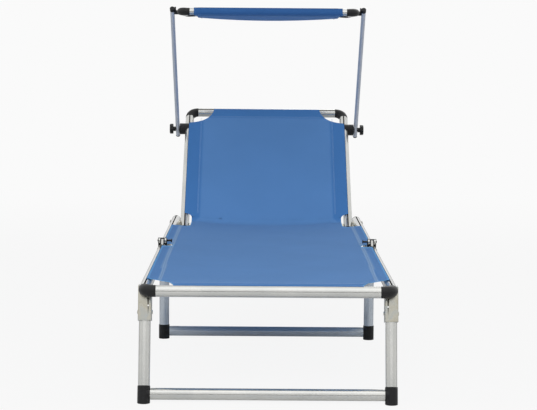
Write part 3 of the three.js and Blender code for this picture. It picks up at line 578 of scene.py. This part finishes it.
# The line through the pivots: level along the seat, round an arc, and up along the backrest.
# Each place gives a point in the bed's middle plane and the direction square to the cloth there
def clothLine(t, size=bedCloth):
    radius = size.creaseRadius
    reach = radius * tan(backTilt / 2)
    turn = backTilt * np.clip((t + reach) / (2 * reach), 0, 1)
    arc = radius * (np.sin(turn)[..., None] * lengthwise + (1 - np.cos(turn))[..., None] * upright)
    flat = np.minimum(t + reach, 0)[..., None] * lengthwise + np.maximum(t - reach, 0)[..., None] * backUp
    square = np.cos(turn)[..., None] * upright - np.sin(turn)[..., None] * lengthwise
    return (pivot - lengthwise * reach + arc + flat) * [0, 1, 1], square


# Height of the cloth above the bed's middle plane: tube face, less a parabola of sag across, plus the
# doubled hems, a slight pucker along their stitching, and small waves across the crease
def clothSurface(x, t, above=0.0, size=bedCloth):
    x, t = np.broadcast_arrays(np.asarray(x, float), np.asarray(t, float))
    out, hemAt, slope = np.abs(x), hemLine(t), hem.slope
    halfSpan = railX + (backX - railX) * eased(t, -size.seatEnd, size.seatEnd + size.backStart)
    share = np.minimum(out / halfSpan, 1)
    doubled = np.maximum.reduce([eased(out, hemAt - hem.seam, slope), 1 - eased(t + pivotAt, hem.end, slope),
                                 eased(t, backBarAt - hem.end, slope)])
    pucker = np.sin(2 * pi * t / ripple.puckerPitch) * np.exp(-((out - hemAt) / ripple.puckerReach) ** 2)
    wave = np.cos(2 * pi * x / ripple.wavePitch + ripple.waveStart) * np.exp(-(t / ripple.waveReach) ** 2)
    height = tubeRadius + size.lift + size.thick / 2 - clothSag(t) * (1 - share ** 2) \
        + hem.step * doubled + ripple.pucker * pucker * (out < halfSpan) + wave * ripple.wave + above
    line, square = clothLine(t)
    return line + x[..., None] * sideways + height[..., None] * square, square


# A sheet with a thickness: the middle surface moved both ways, and a rounded rim that joins the two faces.
# The rim tones of the two faces are given apart, because painted light from below makes an underside brighter than
# the face above it
rimSwell = 0.42    # in thicknesses


def thickSheet(name, surface, square, thick, uv, band, paintedGlows, material, flatEnds=(False, False)):
    rows, columns = surface.shape[:2]
    count = rows * columns
    index = np.arange(count).reshape(rows, columns)
    rim = np.concatenate([index[0, :-1], index[:-1, -1], index[-1, :0:-1], index[:0:-1, 0]])
    surface, square, uv = surface.reshape(-1, 3), square.reshape(-1, 3), uv.reshape(-1, 2)
    outward = np.cross(np.roll(surface[rim], -1, 0) - np.roll(surface[rim], 1, 0), square[rim])
    outward /= np.linalg.norm(outward, axis=1)[:, None]
    if (outward * (surface[rim] - surface.mean(0))).sum() < 0:
        outward = -outward
    swell = np.full(len(rim), rimSwell * thick)
    swell[(rim < columns) & flatEnds[0]] = 0
    swell[(rim >= count - columns) & flatEnds[1]] = 0
    points = np.concatenate([surface + square * thick / 2, surface - square * thick / 2,
                             surface[rim] + outward * swell[:, None]])
    here = 2 * count + np.arange(len(rim))
    after, rimAfter = np.roll(here, -1), np.roll(rim, -1)
    faces = [gridFaces(rows, columns), gridFaces(rows, columns, offset=count)[:, ::-1],
             np.stack([rim, rimAfter, after, here], -1), np.stack([here, after, count + rimAfter, count + rim], -1)]
    piece = meshPiece(name, points, np.concatenate(faces).tolist(), material, 75)
    mesh = piece.data
    loops = np.empty(len(mesh.loops), int)
    mesh.loops.foreach_get("vertex_index", loops)
    allUv = np.concatenate([uv, uv, uv[rim]])[loops].astype(np.float32)
    mesh.uv_layers.new(name="cloth").data.foreach_set("uv", allUv.ravel())
    for attribute, (over, under) in (("band", (band, band)), ("rim", paintedGlows)):
        tones = np.concatenate([over.ravel(), under.ravel(), over.ravel()[rim]]).astype(np.float32)
        mesh.attributes.new(attribute, "FLOAT", "POINT").data.foreach_set("value", tones)
    return piece


# Stitches: short capsules of thread laid along a line, sunk into the cloth at both ends. A capsule's rings are
# given by their share of its length, and by their width and rise in thread radii
stitch = Spec(length=0.0032, pitch=0.0041, radius=0.00034, sides=6, flatness=0.8,
              shares=np.array([0, 0.12, 0.5, 0.88, 1])[:, None], widths=np.array([0.45, 0.9, 1, 0.9, 0.45]),
              rises=np.array([-0.9, -0.1, 0.35, -0.1, -0.9])[:, None])


# Each line is the places, as two coordinates on the surface, where its stitches start and then where they end
def sewnStitches(name, lines, surface, material, facing=1):
    x0, t0, x1, t1 = (np.concatenate(part) for part in zip(*lines))
    starts, square = surface(x0, t0)
    along = surface(x1, t1)[0] - starts
    starts, along, square = starts[:, None], along[:, None], square[:, None] * facing
    beside = np.cross(along / np.linalg.norm(along, axis=2)[..., None], square)
    centre = starts + along * stitch.shares + square * (stitch.rises * stitch.radius)
    sides, each = stitch.sides, len(stitch.widths) * stitch.sides
    wide, high = circle(1, sides).T[..., None]
    ring = wide * beside + stitch.flatness * high * square
    points = centre[:, :, None] + ring[:, None] * (stitch.widths * stitch.radius)[:, None, None]
    quads = gridFaces(len(stitch.widths), sides, closed=True)
    caps = np.array([np.arange(sides), np.arange(each - sides, each)[::-1]])
    shift = (np.arange(len(x0)) * each)[:, None, None]
    faces = (quads + shift).reshape(-1, 4).tolist() + (caps + shift).reshape(-1, sides).tolist()
    return meshPiece(name, points, faces, material, 60)


# Seams along the sides, by their distance outside the hem's inner edge, and across both ends, by their distance
# from the bar and how far they reach to each side
seams = Spec(seat=(0.0018, 0.0066), back=(0.002, 0.0045), ends=(0.0362, 0.0335), footStart=0.076,
             footReaches=(0.2068, 0.2062), topReaches=(0.166, 0.1655))


def sideLines(start, end, shifts):
    t = np.arange(start, end - stitch.length, stitch.pitch)
    for sign in (-1, 1):
        for shift in shifts:
            x = sign * (hemLine(t) + shift)
            yield x, t, x, t + stitch.length


def acrossLine(at, reach):
    x = np.arange(-reach, reach - stitch.length, stitch.pitch)
    t = np.full_like(x, at)
    return x, t, x + stitch.length, t


# Rows of the cloth, closer together where its edge turns, at the hems and round the crease
seatCorner, seatMiddle = -bedCloth.seatEnd, bedCloth.halfway - pivotAt
backCutStart = backBarAt + bedCloth.cutInset - bedCloth.cutDepth


def footRows(size=bedCloth):
    pitch, notch, end = size.rowPitch, size.notch, size.halfway
    hemRows = [-0.0006, 0, 0.0012, 0.004, 0.012, 0.024, 0.0355, 0.0375, 0.038, 0.0387, 0.04, 0.046]
    return np.concatenate([
        hemRows, np.linspace(size.footSide, size.footCorner, 18),
        np.arange(size.footCorner + 0.005, foldAt - notch - 0.003, pitch),
        foldAt + notch * np.cos(np.linspace(pi, 0, 27)), np.arange(foldAt + notch + 0.006, end - 0.005, pitch),
        [end]]) - pivotAt


def backRows(size=bedCloth):
    pitch, start = size.rowPitch, size.backStart
    turn = np.linspace(0.1, pi / 2 - 0.03, 12)
    cut = np.linspace(0.06, pi / 2 - 0.02, 24)
    return np.concatenate([
        np.arange(seatMiddle, seatCorner - 0.004, pitch),
        seatCorner + np.array([-0.001, 0, 0.0003, 0.0006, 0.002, 0.004]),
        np.linspace(seatCorner + 0.006, seatCorner + 0.03, 9), np.arange(seatCorner + 0.036, -0.026, 0.006),
        np.linspace(-0.024, 0.024, 33), start - size.rounding * (1 - np.sin(turn)), [start],
        np.arange(start + 0.011, backCutStart - 0.004, pitch),
        backBarAt + size.cutInset - size.cutDepth * np.cos(cut), [backBarAt + 0.0006]])


def makeBedCloth(name, rows, flatEnds, size=bedCloth):
    t = rows[:, None]
    nominal = seatColumns + (backColumns - seatColumns) * toBack(t)
    edge, band = clothEdge(t), size.squeeze    # columns past the edge are squeezed into a band inside it
    inner = edge - band
    squeezed = inner + (nominal - inner) * band / np.maximum(nominal[:, -1:] - inner, band)
    half = np.where(nominal > inner, squeezed, nominal)
    x = np.concatenate([-half[:, :0:-1], half], 1)
    t = np.broadcast_to(t, x.shape)
    points, square = clothSurface(x, t)

    # Tones: hems deeper, the sewn strip paler on the seat and deeper on the backrest, and painted highlight along the
    # cut edges, round the notches and at the seat's corners
    out, y, hemAt, onBack, seam, tone = np.abs(x), t + pivotAt, hemLine(t), toBack(t), hem.seam, clothTone
    outer = eased(out, hemAt + hem.strip, hem.blur)
    inStrip = eased(out, hemAt - seam, 2 * seam) * (1 - outer)
    shade = inStrip * (1 - onBack) - (0.5 + 0.5 * onBack) * np.maximum(outer, inStrip * onBack)
    shade = np.where(t > backBarAt - hem.end + seam, tone.topHem, shade)
    shade = np.where(y < hem.end + seam, tone.footHem, shade)
    # Painted highlight along the seat's cut edges, round the fold notches and at the seat's rear corners
    paintedGlow = tone.edge * eased(out, edge - tone.edgeWidth, hem.blur) * (1 - onBack)
    beyond = np.hypot(out - railX, y - foldAt) - size.notch
    reach = np.where(y < foldAt, 1.0, tone.behindNotch) * tone.notchGlow
    nearNotch = (1 - eased(beyond, 0.2 * reach, reach)) * (out > hemAt)
    nearCorner = eased(t, seatCorner - tone.cornerGlow, 0.012) * (t < seatCorner + seam) * (out > size.innerEdge)
    paintedGlow = np.maximum(paintedGlow, tone.corner * np.maximum(nearNotch, nearCorner))
    # The underside gets painted light as well, as if coming through the cloth
    piece = thickSheet(name, points, square, size.thick, np.stack([x, t], -1), shade,
                       (paintedGlow, np.maximum(paintedGlow, tone.underside)), "bed_cloth", flatEnds)
    widths = x[:, -1] - x[:, 0]
    area = float((np.diff(rows) * (widths[1:] + widths[:-1]) / 2).sum())
    return piece, (2 * seatEdge, float(rows[-1] - rows[0])), area


# The cloth's edges go down through the slots, with a round bead that holds them in the pockets
bead = Spec(radius=0.002, tab=0.0006, opening=0.31, inset=0.0008)
tabTop = tubeRadius + bedCloth.lift + bedCloth.thick * 0.4
beadArc = arcPoints(0, pocketHeight, bead.radius, np.linspace(pi / 2 + bead.opening, 5 * pi / 2 - bead.opening, 14))
beadOutline = np.concatenate([[[bead.tab, tabTop], [-bead.tab, tabTop]], beadArc])


def sideBead(name, sign, edgeX, start, end):
    line, square = clothLine(np.linspace(start, end, 60))
    return carriedOutline(name, beadOutline, line + sideways * edgeX * sign, sideways, square, "bed_cloth")


def barBead(name, at, reach):
    line, square = clothLine(np.full(40, at))
    path = line + np.linspace(-reach, reach, 40)[:, None] * sideways
    return carriedOutline(name, beadOutline, path, np.cross(sideways, square[0]), square, "bed_cloth")


# Each piece's placement is baked into its mesh
def bendOver(pieces):
    for piece in pieces:
        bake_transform(piece)


footPiece, footFlat, footArea = makeBedCloth("bed_cloth_foot_half", footRows(), (False, True))
backPiece, backFlat, backArea = makeBedCloth("bed_cloth_back_half", backRows(), (True, False))
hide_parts("foot_cloth")
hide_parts("seat_cloth", "back_cloth")
footTrim, backTrim = [], []
notchStart, notchEnd = foldAt - bedCloth.notch - pivotAt, foldAt + bedCloth.notch - pivotAt
for side, sign in bothSides:
    inRail = railX - bead.inset
    footTrim.append(sideBead(f"foot_edge_bead_{side}", sign, inRail, bedCloth.footCorner - pivotAt, notchStart))
    footTrim.append(sideBead(f"fold_edge_bead_{side}", sign, inRail, notchEnd, seatMiddle))
    backTrim.append(sideBead(f"seat_edge_bead_{side}", sign, inRail, seatMiddle, seatCorner))
    backTrim.append(sideBead(f"back_edge_bead_{side}", sign, backX, bedCloth.beadStart, backCutStart))
footTrim.append(barBead("foot_bar_bead", -pivotAt, bedCloth.footHalf))
backTrim.append(barBead("back_bar_bead", backBarAt, backX + bedCloth.cutInset - bedCloth.cut))
onCloth = partial(clothSurface, above=bedCloth.thick / 2)
footTrim.append(sewnStitches("foot_half_stitches", [
    *sideLines(seams.footStart - pivotAt, seatMiddle, seams.seat),
    *(acrossLine(fromBar - pivotAt, reach) for fromBar, reach in zip(seams.ends, seams.footReaches))],
    onCloth, "thread"))
backTrim.append(sewnStitches("back_half_stitches", [
    *sideLines(seatMiddle + stitch.pitch - stitch.length, seatCorner - 0.001, seams.seat),
    *sideLines(bedCloth.backStart + 0.002, backBarAt - hem.end - 0.003, seams.back),
    *(acrossLine(backBarAt - fromBar, reach) for fromBar, reach in zip(seams.ends, seams.topReaches))],
    onCloth, "thread"))
clothBend = Spec(fold=0.025, crease=0.022)
bendOver([footPiece, *footTrim])
bendOver([backPiece, *backTrim])
print("bed cloth made: cut areas", round(footArea, 3), "and", round(backArea, 3))


# Canopy cover: sleeves sewn round both bars, and a sheet that hangs between them. The profile runs in the
# y-z plane from the hem under the front bar, round that bar, down the hanging curve and round the rear bar
cover = Spec(half=0.199, scallop=0.005, thick=0.0009, sleeve=0.0105, sagEdge=0.0245, sagMiddle=0.032,
             hemInner=0.038, hemOuter=0.018, hemGap=0.00115, sideHem=0.012, sideStep=0.0003, hemPoints=13,
             ringPoints=40, underside=0.7, sleeveUnder=0.3, hemTone=-0.55, cutShare=0.985)
canopyBar = tiltPoint[1] - middle("canopy_front_bar")[1]


def hangingHeight(x, y, size=cover):    # deeper in the middle than along the free side edges
    sag = size.sagEdge + (size.sagMiddle - size.sagEdge) * (1 - (x / size.half) ** 2)
    return size.sleeve - sag * (1 - (y / canopyBar) ** 2)


def sideEdge(x, y, size=cover):    # the side edges curve in between the bars
    return x * (1 - size.scallop / size.half * (1 - np.clip(np.abs(y) / canopyBar, 0, 1) ** 2))


def coverProfile(x, size=cover):    # y and z from the canopy's middle for each x, as two arrays
    ring = size.sleeve
    slope = atan2(2 * size.sagEdge, canopyBar)
    joint = -canopyBar + size.hemOuter
    jointZ = hangingHeight(x, joint) - size.hemGap
    toJoint = np.array([size.hemOuter, float(np.mean(jointZ))])
    away = atan2(toJoint[1], toJoint[0]) - np.arccos(ring / np.linalg.norm(toJoint))
    arcY, arcZ = arcPoints(-canopyBar, 0, ring, np.linspace(away + 2 * pi, pi / 2 - slope, size.ringPoints)).T
    share = np.linspace(0, 1, 6)[1:-1]
    hemY = np.linspace(-canopyBar + size.hemInner, joint, size.hemPoints - len(share))
    mainY = np.linspace(arcY[-1], 0, 34)[1:]
    runZ = jointZ[:, None] + (arcZ[0] - jointZ[:, None]) * share
    lift = arcZ[-1] - hangingHeight(x, arcY[-1])    # the sheet leaves the sleeve where the arc ends
    hemZ, mainZ = (hangingHeight(x[:, None], y) + lift[:, None] * (y / arcY[-1]) ** 8 for y in (hemY, mainY))
    halfY = np.concatenate([hemY, joint + (arcY[0] - joint) * share, arcY, mainY])
    spread = np.broadcast_to(arcZ, (len(x), len(arcZ)))
    halfZ = np.concatenate([hemZ - size.hemGap, runZ, spread, mainZ], 1)
    z = np.concatenate([halfZ, halfZ[:, -2::-1]], 1)
    return np.broadcast_to(np.concatenate([halfY, -halfY[-2::-1]]), z.shape), z


halfShares = np.array([*np.linspace(0, 0.91, 17), 0.935, 0.9405, 0.9435, 0.965, *np.linspace(0.985, 1, 4)])
nominalX = np.concatenate([-halfShares[:0:-1], halfShares]) * cover.half
coverY, coverZ = coverProfile(nominalX)
coverX = sideEdge(nominalX[:, None], coverY)
walkY, walkZ = np.gradient(coverY, axis=1), np.gradient(coverZ, axis=1)
coverSquare = np.stack([np.zeros_like(walkY), walkZ, -walkY], -1) / np.hypot(walkY, walkZ)[..., None]
sideHemAt = cover.half - cover.sideHem
sideStep = cover.sideStep * eased(np.abs(nominalX), sideHemAt, 0.0006)[:, None, None]
coverMiddle = np.stack([coverX, coverY + tiltPoint[1], coverZ + tiltPoint[2]], -1) + coverSquare * sideStep
alongCover = np.pad(np.cumsum(np.hypot(np.diff(coverY), np.diff(coverZ)), 1), ((0, 0), (1, 0)))
inHem = (np.abs(nominalX)[:, None] > sideHemAt) | (np.abs(coverY) > canopyBar - cover.hemInner)
onProfile = np.arange(coverY.shape[1])
onProfile = np.minimum(onProfile, onProfile[::-1])    # counted from the hem's end
hemLayer, sheetLayer = onProfile < cover.hemPoints, onProfile >= cover.hemPoints + cover.ringPoints
# Painted light from below: the hanging sheet's underside, the hem's underside and each sleeve's lower half are
# brighter
sleeveUnder = np.clip(-coverZ / cover.sleeve, 0, 1) * ~(hemLayer | sheetLayer)
coverPaintedLight = (np.broadcast_to(cover.underside * sheetLayer, coverZ.shape),
             cover.underside * hemLayer + cover.sleeveUnder * eased(sleeveUnder, 0.5, 0.5))
coverPiece = thickSheet("canopy_cover_cloth", coverMiddle, coverSquare, cover.thick,
                        np.stack([coverX, alongCover], -1), cover.hemTone * inHem, coverPaintedLight, "canopy_cloth")
standFor(coverPiece, "canopy_cover")


def coverPoint(x, y, above):    # a place on the hanging part, with the direction square to it
    slope = (hangingHeight(x, y + 0.0005) - hangingHeight(x, y - 0.0005)) / 0.001
    square = np.stack([np.zeros_like(x), -slope, np.ones_like(x)], -1)
    square /= np.linalg.norm(square, axis=1)[:, None]
    place = np.stack([sideEdge(x, y), y + tiltPoint[1], hangingHeight(x, y) + tiltPoint[2]], -1)
    return place + square * above, square


def coverStitches(name, above, facing, inset=0.004):
    lines = []
    for toward in (-1, 1):
        for fromBar in (cover.hemOuter + inset, cover.hemInner - inset):
            x = np.arange(-cover.half + inset, cover.half - 0.006, stitch.pitch)
            y = np.full_like(x, toward * (canopyBar - fromBar))
            lines.append((x, y, x + stitch.length, y))
        y = np.arange(-canopyBar + cover.hemInner, canopyBar - cover.hemInner, stitch.pitch)
        x = np.full_like(y, toward * (sideHemAt + 0.0022))
        lines.append((x, y, x, y + stitch.length))
    piece = sewnStitches(name, lines, partial(coverPoint, above=above), "canopyThread", facing)
    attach(piece, "canopy")
    return piece


coverTrim = [coverStitches("canopy_stitches_above", cover.thick / 2, 1),
             coverStitches("canopy_stitches_below", -cover.thick / 2 - cover.hemGap, -1)]


# Floor, light and camera
stage = Spec(floorSize=60, floorTone=0.7, backdrop=0.956, whiteShare=0.94, mirroredShare=0.1,
             shadowReach=(1.6, 4.5), skyLevel=0.42, frontLevel=0.8, nearHorizon=0.0, farHorizon=0.85)
# Each softbox: its place, what it points at, its width and height, its power, and whether metal mirrors it
softboxes = dict(front=((-0.4, -4.3, 2.1), (0, 0.4, 0.5), (4.5, 2.0), 112, False),
                 top=((0, -1.8, 3.0), (0, 0, 0.4), (3.6, 3.0), 16, True),
                 rear=((1.2, 3.6, 2.8), (0, 0.2, 0.4), (2.6, 1.8), 22, True))


def makeFloor():
    mesh = bpy.data.meshes.new("floor")
    half = stage.floorSize / 2
    mesh.from_pydata([(-half, -half, 0), (half, -half, 0), (half, half, 0), (-half, half, 0)], [], [(0, 1, 2, 3)])
    material, add, _ = newMaterial("pale_studio_floor")
    tree = material.node_tree
    tree.nodes.remove(tree.nodes["Principled BSDF"])
    matt = add("BsdfDiffuse", {"Color": (stage.floorTone,) * 3 + (1,)})
    white = add("Emission", {"Color": (1, 1, 1, 1), "Strength": stage.backdrop})
    rays = add("LightPath").outputs
    mirrored = add("Math", {0: rays["Is Glossy Ray"], 1: rays["Is Transmission Ray"]}, operation="MAXIMUM")
    mirrored = add("Math", {0: mirrored, 1: stage.mirroredShare}, operation="MULTIPLY")
    seen = add("Math", {0: rays["Is Camera Ray"], 1: mirrored}, operation="MAXIMUM")
    away = add("VectorMath", {0: add("TexCoord").outputs["Object"]}, operation="LENGTH")
    near, far = stage.shadowReach    # beyond this the floor is the backdrop's own colour
    whiteness = add("MapRange", {"Value": away, "From Min": near, "From Max": far, "To Min": stage.whiteShare,
                    "To Max": 1.0}, interpolation_type="SMOOTHSTEP")
    share = add("Math", {0: seen, 1: whiteness}, operation="MULTIPLY")
    mixed = add("MixShader", {0: share, 1: matt, 2: white})
    setInputs(tree, tree.nodes["Material Output"], {"Surface": mixed})
    mesh.materials.append(material)
    newObject("floor", mesh)


# The world is the backdrop's white to the camera. For other rays it darkens towards the horizon, most on the
# camera's side. Higher up, metal mirrors the same white, and the rest get a softer sky, brighter on that side
def makeWorld():
    world = bpy.data.worlds.new("studio")
    bpy.context.scene.world = world
    world.use_nodes = True
    world.node_tree.nodes.clear()
    add = partial(addNode, world.node_tree)
    direction = add("SeparateXYZ", {"Vector": add("TexCoord").outputs["Generated"]}).outputs
    rays = add("LightPath").outputs
    mirrored = add("Math", {0: rays["Is Glossy Ray"], 1: rays["Is Transmission Ray"]}, operation="MAXIMUM")
    toFront = add("Math", {0: direction["Y"], 1: -1.0}, operation="MULTIPLY")
    toFront = add("Math", {0: toFront, 1: 0.0}, operation="MAXIMUM")
    toFront = add("Math", {0: toFront, 1: 2.0}, operation="POWER")
    horizon = add("MapRange", {"Value": toFront, "From Max": 0.6, "To Min": stage.farHorizon,
                  "To Max": stage.nearHorizon})
    ramp = add("MapRange", {"Value": direction["Z"], "From Min": -0.02, "From Max": 0.35, "To Min": horizon,
               "To Max": 1.0}, interpolation_type="SMOOTHSTEP")
    front = add("Math", {0: toFront, 1: stage.frontLevel, 2: stage.skyLevel}, operation="MULTIPLY_ADD")
    strength = add("Mix", {"Factor": mirrored, "A": front, "B": stage.backdrop}, data_type="FLOAT")
    soft = add("Math", {0: ramp, 1: strength}, operation="MULTIPLY")
    level = add("Mix", {"Factor": rays["Is Camera Ray"], "A": soft, "B": stage.backdrop}, data_type="FLOAT")
    light = add("Background", {"Color": (1, 1, 1, 1), "Strength": level})
    add("OutputWorld", {"Surface": light}).is_active_output = True


def makeSoftbox(name, place, target, size, power, inGloss):
    light = bpy.data.lights.new(name, "AREA")
    light.shape = "RECTANGLE"
    light.size, light.size_y = size
    light.energy = power
    lamp = newObject(name, light)
    lamp.location = place
    lamp.rotation_euler = (Vector(target) - Vector(place)).to_track_quat("-Z", "Y").to_euler()
    lamp.visible_glossy = inGloss


makeFloor()
makeWorld()
for name, look in softboxes.items():
    makeSoftbox(f"{name}_softbox", *look)

# The photograph's camera: low, and looking along the bed from the foot end
view = Spec(lens=125.1, sensor=36, away=3.9, right=-0.0207, height=0.776, down=0.0904, turn=-0.005, roll=0.0076)
lens = bpy.data.cameras.new("camera")
lens.sensor_width, lens.sensor_fit, lens.lens = view.sensor, "HORIZONTAL", view.lens
camera = newObject("camera", lens)
camera.matrix_world = Matrix.Translation((view.right, barY - view.away, view.height)) \
    @ Matrix.Rotation(view.turn, 4, "Z") @ Matrix.Rotation(pi / 2 - view.down, 4, "X") \
    @ Matrix.Rotation(view.roll, 4, "Z")
bpy.context.scene.camera = camera
bpy.context.scene.view_settings.view_transform = "Standard"
print("stage set")
